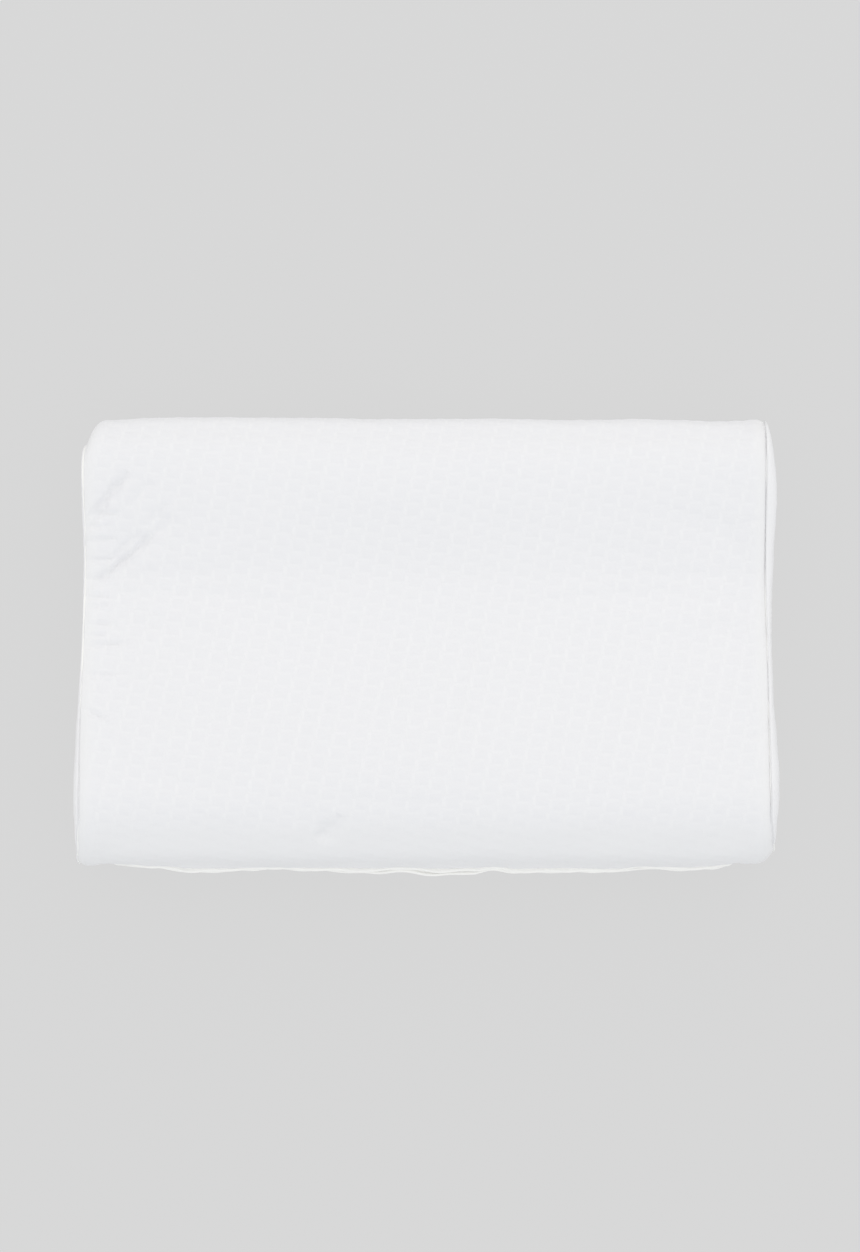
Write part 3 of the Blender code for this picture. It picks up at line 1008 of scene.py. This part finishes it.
@dataclass
class EndGusset:
    """The contour-shaped end panel of the cover: a thin cloth, domed over the foam's end."""

    contour: Contour
    cells: JacquardCells
    side: Side
    finish: bpy.types.Material
    thickness: float = 0.0016
    across_cells: int = 150
    up_cells: int = 44
    reach: float = 0.999
    grading: float = 1.6
    dome_power: float = 6.0
    tuck: float = 0.0006
    nose_taper: float = 0.75
    plainness: float = 0.45

    @property
    def name(self) -> str:
        """The piece's name."""
        return f"gusset_cloth_{self.side.name.lower()}"

    def rim(self, across: np.ndarray, up: np.ndarray) -> np.ndarray:
        """The seam ring's points for places on a square's rim, spread evenly round the section."""
        angle = np.arctan2(up, across)
        contour = self.contour
        outline = contour.closed[:-1] - contour.middle
        bearing = np.unwrap(np.arctan2(outline[:, 1], outline[:, 0] * 0.28))
        order = np.argsort(bearing)
        bearing, girth = bearing[order], contour.length[:-1][order]
        turn = math.tau
        bearing = np.concatenate([bearing - turn, bearing, bearing + turn])
        girth = np.concatenate([girth + contour.girth, girth, girth - contour.girth])
        at = np.interp(angle, bearing, girth)
        along = np.full(len(at), float(self.side.value))
        points, _, _ = contour.place(along, np.mod(at, contour.girth))
        return points

    def build(self) -> bpy.types.Object:
        """Cut the panel flat, dome it over the foam's end and give it its thickness."""
        piece = add_grid(self.name, self.across_cells, self.up_cells)
        flat = read_points(piece)
        share = np.maximum(np.abs(flat[:, 0]), np.abs(flat[:, 1]))
        rim = self.rim(flat[:, 0], flat[:, 1])
        graded = (1.0 - (1.0 - share) ** self.grading) * self.reach
        middle = self.contour.middle
        y = middle[0] + (rim[:, 1] - middle[0]) * graded
        z = middle[1] + (rim[:, 2] - middle[1]) * graded
        right = np.full(len(y), self.side is Side.RIGHT)
        seam, edge = self.contour.seam_x(right, y), self.contour.edge_x(right, y) - self.thickness
        dome = np.sqrt(np.maximum(0.0, 1.0 - (graded / self.reach) ** self.dome_power))
        across = np.abs(rim[:, 1] - middle[0]) / (self.contour.section.depth / 2.0)
        belly = 1.0 - self.nose_taper * np.clip(across, 0.0, 1.0) ** 10
        out = seam - self.tuck + np.maximum((edge - seam) * belly + self.tuck, 0.0005) * dome
        points = np.stack([self.contour.middle_x + self.side.value * out, y, z], axis=1)
        points[:, 0] += self.side.value * self.cells.relief(y, z) * dome
        points[:, 0] += self.side.value * unevenness(points, 0.035, 0.0007, 5.0 + self.side.value) * dome
        write_points(piece, points)
        write_cloth_map(piece, y, z)
        write_border(piece, np.full(len(points), self.plainness))
        outward_normals(piece)
        if np.mean([face.normal.x for face in piece.data.polygons]) * self.side.value < 0.0:
            piece.data.flip_normals()
        cloth = piece.modifiers.new("Cloth", "SOLIDIFY")
        cloth.thickness = self.thickness
        cloth.offset = 1.0
        apply_modifiers(piece)
        points = read_points(piece)
        points[:, 2] = np.maximum(points[:, 2], 0.0002)
        write_points(piece, points)
        dress(piece, self.finish)
        return piece


@dataclass
class SeamRoll:
    """The end seam: the two cloths' edges pinched together into a narrow roll round the end."""

    contour: Contour
    side: Side
    finish: bpy.types.Material
    radius: float = 0.00085
    turns: int = 520
    stitch: float = 0.0032

    @property
    def name(self) -> str:
        """The piece's name."""
        return f"seam_roll_{self.side.name.lower()}"

    def build(self) -> bpy.types.Object:
        """Lay a ring round the seam, with a small dimple at every stitch."""
        deselect_all()
        bpy.ops.mesh.primitive_torus_add(
            major_segments=self.turns, minor_segments=10, major_radius=1.0, minor_radius=0.1
        )
        piece = bpy.context.active_object
        piece.name = self.name
        piece.data.name = self.name
        ring = read_points(piece)
        share = np.mod(np.arctan2(ring[:, 1], ring[:, 0]) / math.tau, 1.0)
        girth = share * self.contour.girth
        out = (np.hypot(ring[:, 0], ring[:, 1]) - 1.0) / 0.1
        beside = ring[:, 2] / 0.1
        along = np.full(len(ring), float(self.side.value))
        seam, outward, _ = self.contour.place(along, girth)
        pinch = 1.0 - 0.16 * np.abs(np.cos(np.pi * girth / self.stitch)) ** 6
        pinch += 0.10 * np.sin(girth * 61.0 + 1.0) + 0.07 * np.sin(girth * 143.0)
        radius = self.radius * pinch
        points = seam + outward * (radius * out - 0.0003)[:, None]
        points[:, 0] += self.side.value * (radius * beside * 0.9)
        points[:, 2] = np.maximum(points[:, 2], 0.0008)
        write_points(piece, points)
        write_cloth_map(piece, girth, beside * self.radius)
        outward_normals(piece)
        dress(piece, self.finish)
        return piece


@dataclass
class ClosureLip:
    """One lip of the closure: the panel's turned hem, a thin tape with a rolled rim that waves."""

    contour: Contour
    column: str
    lower: bool
    finish: bpy.types.Material
    tape: float = 0.0007
    rim: float = 0.0014
    parting: float = 0.0003
    root: float = 0.0050
    along_cells: int = 400
    from_rim: tuple[float, ...] = (0.0, 0.05, 0.2, 0.5, 0.85, 1.2, 1.6, 2.0, 2.5, 3.2)

    @property
    def name(self) -> str:
        """The piece's name."""
        return f"lip_cloth_{self.column}"

    def flat_width(self) -> float:
        """The width of the hem as cut: in the cover, out to the rim and round it."""
        reach = sum(getattr(row, self.column) for row in LIPS) / len(LIPS)
        return max(0.010, self.root + reach + self.rim)

    def build(self) -> bpy.types.Object:
        """Cut the hem flat, fold it round its own rim and wave it along the nose."""
        steps = len(self.from_rim)
        piece = add_grid(self.name, self.along_cells, 2 * steps)
        flat = read_points(piece)
        row = np.rint((flat[:, 1] + 1.0) * steps).astype(int)
        x = LIPS[0].x + (LIPS[-1].x - LIPS[0].x) * (flat[:, 0] + 1.0) / 2.0
        away = np.append(np.array(self.from_rim), 1000.0)[np.abs(row - steps)] * self.rim
        reach = read_table(LIPS, "x", self.column, x)
        reach += 0.0004 * np.sin(x * 210.0 + (2.0 if self.lower else 0.0)) * np.clip(reach / 0.003, 0.0, 1.0)
        ends = np.sqrt(np.clip(1.0 - np.abs(flat[:, 0]) ** 40, 0.0, 1.0))
        span = self.root + reach
        away = np.minimum(away, span)
        rounded = np.sqrt(np.clip(1.0 - (1.0 - np.minimum(away / self.rim, 1.0)) ** 2, 0.0, 1.0)) * self.rim
        half = self.tape + (rounded - self.tape) * (1.0 - ease((away / self.rim - 1.0) / 1.0))
        half = np.where(away >= span, self.tape * 0.5, np.where(away < self.rim, rounded, half)) * ends
        out = 1.0 - away / span
        inner = self.nose_y(x) + self.root
        y = inner - (span - away)
        z = self.middle_z(x, out) + np.where(row > steps, -half, half)
        write_points(piece, np.stack([self.contour.middle_x + x, y, z], axis=1))
        write_cloth_map(piece, x, out * 0.010)
        self.close_up(piece)
        dress(piece, self.finish)
        return piece

    def nose_y(self, x: np.ndarray) -> np.ndarray:
        """Where the foam's nose lies behind the closure."""
        seam = self.contour.seam_x(x > 0.0, np.full(len(x), -1.0))
        nose, _, _ = self.contour.place(x / seam, np.zeros(len(x)))
        return nose[:, 1]

    def middle_z(self, x: np.ndarray, out: np.ndarray) -> np.ndarray:
        """The height of the lip's middle line, which waves more towards its rim."""
        rise = read_table(LIPS, "x", "rise", x) + 0.0004 * np.sin(x * 340.0 + 1.0)
        side = -1.0 if self.lower else 1.0
        step = side * (self.rim + self.parting / 2.0)
        curl = side * 0.0006 * out ** 2 * np.sin(x * 95.0)
        return self.contour.section.closure_height + step + rise * out ** 1.3 + curl

    @staticmethod
    def close_up(piece: bpy.types.Object) -> None:
        """Join the hem's two sides at its root and close its ends."""
        hold(piece)
        bpy.ops.object.mode_set(mode="EDIT")
        bpy.ops.mesh.select_mode(type="EDGE")
        select_open_edges()
        bpy.ops.mesh.edge_face_add()
        bpy.ops.mesh.select_all(action="SELECT")
        bpy.ops.mesh.normals_make_consistent(inside=False)
        bpy.ops.object.mode_set(mode="OBJECT")


@dataclass
class Studio:
    """The pale floor, the soft light and the camera overhead."""

    frame_pixels: tuple[int, int] = (860, 1252)
    metres_a_pixel: float = 0.0007125
    distance: float = 2.30
    tilt: float = 2.0
    aim: tuple[float, float, float] = (0.0018, 0.0150, 0.050)
    floor_tone: float = 0.686
    floor_matt: float = 0.13
    sky_front: tuple[float, float, float] = (0.905, 0.932, 0.955)
    sky_rear: tuple[float, float, float] = (1.000, 1.000, 0.998)
    sky_strength: float = 1.004
    key_place: tuple[float, float, float] = (0.50, 1.90, 1.40)
    key_size: float = 1.6
    key_power: float = 3.0
    key_colour: tuple[float, float, float] = (1.0, 0.985, 0.96)

    def camera(self) -> None:
        """Set the camera at the photograph's angle, framed by its scale."""
        bpy.ops.object.camera_add()
        camera = bpy.context.active_object
        lens = camera.data
        lens.sensor_width = 36.0
        lens.lens = lens.sensor_width * self.distance / (self.frame_pixels[1] * self.metres_a_pixel)
        lens.clip_end = 20.0
        tilt = math.radians(self.tilt)
        camera.location = Vector(self.aim) + Vector((0.0, -math.sin(tilt), math.cos(tilt))) * self.distance
        camera.rotation_euler = (tilt, 0.0, 0.0)
        bpy.context.scene.camera = camera

    def floor(self) -> bpy.types.Object:
        """A plain pale floor, lit from below as a light table is, so that shadows on it stay faint."""
        deselect_all()
        bpy.ops.mesh.primitive_plane_add(size=12.0)
        floor = bpy.context.active_object
        floor.name = "floor"
        material = bpy.data.materials.new("floor_paper")
        material.use_nodes = True
        shader = material.node_tree.nodes["Principled BSDF"]
        matt = self.floor_tone * self.floor_matt
        shader.inputs["Base Color"].default_value = (matt, matt, matt, 1.0)
        shader.inputs["Roughness"].default_value = 1.0
        shader.inputs["Specular IOR Level"].default_value = 0.0
        shader.inputs["Emission Color"].default_value = (1.0, 1.0, 1.0, 1.0)
        shader.inputs["Emission Strength"].default_value = self.floor_tone - matt
        floor.data.materials.append(material)
        return floor

    def sky(self) -> None:
        """An even dome of soft light, a little cooler in front of the pillow than behind it."""
        world = bpy.data.worlds.new("studio")
        world.use_nodes = True
        graph = NodeGraph(world.node_tree)
        split = graph.node("ShaderNodeSeparateXYZ")
        graph.put(split.inputs[0], graph.node("ShaderNodeTexCoord").outputs["Generated"])
        rearward = graph.ranged(split.outputs["Y"], -0.80, -0.05)
        dome = world.node_tree.nodes["Background"]
        graph.put(dome.inputs["Color"], KnitFinish.mix(graph, rearward, self.sky_front, self.sky_rear))
        dome.inputs["Strength"].default_value = self.sky_strength
        bpy.context.scene.world = world

    def key(self) -> None:
        """A large square light behind the pillow and a little to its right."""
        bpy.ops.object.light_add(type="AREA", location=self.key_place)
        lamp = bpy.context.active_object
        lamp.name = "key_light"
        lamp.data.size = self.key_size
        lamp.data.energy = self.key_power
        lamp.data.color = self.key_colour
        lamp.rotation_euler = Vector(self.key_place).to_track_quat("Z", "Y").to_euler()

    def build(self) -> None:
        """Make the whole studio."""
        self.camera()
        self.floor()
        self.sky()
        self.key()
        bpy.context.scene.view_settings.view_transform = "Standard"


def main() -> None:
    """Build the pillow and the studio, piece by piece."""
    logging.basicConfig(level=logging.INFO, format="%(message)s")
    Studio().build()
    section = ContourSection(
        depth=0.3205,
        high_lobe=BODY_HIGH.z,
        low_lobe=0.0700,
        middle_y=0.0057,
        closure_height=0.0460,
    )
    contour = Contour(section, 0.0018)
    cells = JacquardCells()
    groups = KnitGroups(cells)
    cover = KnitFinish(
        "cover_jacquard",
        ground=(0.868, 0.867, 0.881),
        cell=(0.861, 0.860, 0.876),
        bar=(0.886, 0.885, 0.895),
        border=(0.874, 0.873, 0.876),
    ).make(groups)
    # The lips' and seam rolls' knit is the cover's own cloth, made far lighter and a little creamier. Its
    # extra lightness is painted light, standing in for the light that the upturned lips and the proud seam
    # rolls catch.
    hem_lit_tone = (0.965, 0.960, 0.935)
    hem = KnitFinish("hem_knit_painted_light", hem_lit_tone, hem_lit_tone, hem_lit_tone, hem_lit_tone, with_cells=False).make(groups)

    wrap = WrapPanel(contour, cells, cover).build()
    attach(wrap, "root")
    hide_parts("pillow_body")
    LOG.info("%s: %d faces", wrap.name, len(wrap.data.polygons))

    for side, node in ((Side.LEFT, "end_gusset_left"), (Side.RIGHT, "end_gusset_right")):
        gusset = EndGusset(contour, cells, side, cover).build()
        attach(gusset, "root")
        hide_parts(node)
        wrap.name
        section.area()
        LOG.info("%s: %d faces", gusset.name, len(gusset.data.polygons))
        # The roll wears the hem knit, whose extra lightness is a painted highlight along the seam.
        roll = SeamRoll(contour, side, hem).build()
        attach(roll, "root")
        LOG.info("%s: %d faces", roll.name, len(roll.data.polygons))

    for column, lower, node in (("upper", False, "closure_lip_upper"), ("lower", True, "closure_lip_lower")):
        # The lips wear the hem knit, whose extra lightness is painted light on their upturned faces.
        hemmed = ClosureLip(contour, column, lower, hem)
        lip = hemmed.build()
        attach(lip, "root")
        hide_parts(node)
        hemmed.flat_width()
        wrap.name
        LOG.info("%s: %d faces", lip.name, len(lip.data.polygons))


if __name__ == "__main__":
    main()
